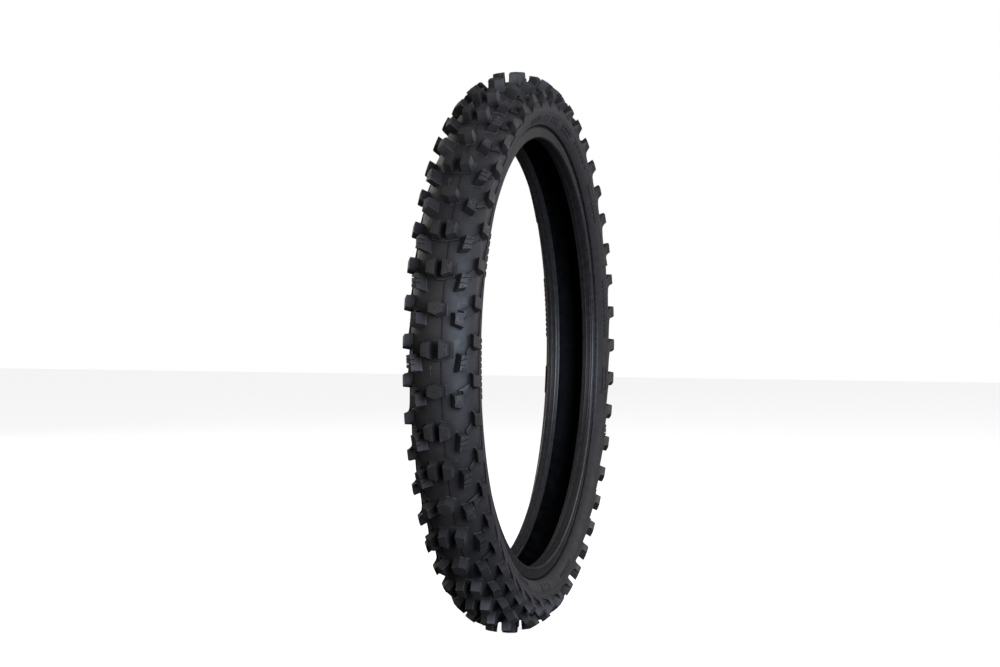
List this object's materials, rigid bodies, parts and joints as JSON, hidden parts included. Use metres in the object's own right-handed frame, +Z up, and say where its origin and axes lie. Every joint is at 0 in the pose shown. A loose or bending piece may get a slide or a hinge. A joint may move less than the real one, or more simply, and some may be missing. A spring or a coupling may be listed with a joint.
{
  "type": "motorcycle tire",
  "caption": "Off-road motorcycle front tire with square-edged knobs in a repeating five-row pattern, off its rim, built up from rubber, plies and wire bead cores.",
  "frame": {"origin": "wheel centre: on the axle line, midway between the two beads", "axes": "+Y along the axle towards the right-hand sidewall, +Z up, +X forward"},
  "size_m": [0.6975, 0.0934, 0.6977],
  "materials": {
    "tread_rubber": "satin moulded rubber, lightly dusted",
    "sidewall_rubber": "satin moulded rubber",
    "bead_rubber": "smooth moulded rubber with fine rings",
    "cushion_rubber": "dull tacky rubber, inside the tire",
    "ply_fabric": "rubberised nylon cord, inside the tire",
    "liner_rubber": "matte rubber with a fine bladder texture",
    "bead_wire": "bronze-coated steel wire"
  },
  "bodies": {
    "root": {"tread_base": "tread_rubber", "centre_knobs_single": "tread_rubber", "centre_knobs_split": "tread_rubber", "siped_knobs_left": "tread_rubber", "siped_knobs_right": "tread_rubber", "bowtie_knobs_left": "tread_rubber", "bowtie_knobs_right": "tread_rubber", "shoulder_knobs_left": "tread_rubber", "shoulder_knobs_right": "tread_rubber", "tie_bars_left": "tread_rubber", "tie_bars_right": "tread_rubber", "sidewall_left": "sidewall_rubber", "sidewall_right": "sidewall_rubber", "rim_strip_left": "bead_rubber", "rim_strip_right": "bead_rubber", "undertread_cushion": "cushion_rubber", "breaker_ply": "ply_fabric", "carcass_ply_outer": "ply_fabric", "carcass_ply_inner": "ply_fabric", "inner_liner": "liner_rubber", "bead_filler_left": "cushion_rubber", "bead_filler_right": "cushion_rubber", "bead_wrap_left": "ply_fabric", "bead_wrap_right": "ply_fabric", "bead_insulation_left": "cushion_rubber", "bead_insulation_right": "cushion_rubber", "bead_wires_left": "bead_wire", "bead_wires_right": "bead_wire"}
  },
  "joints": []
}
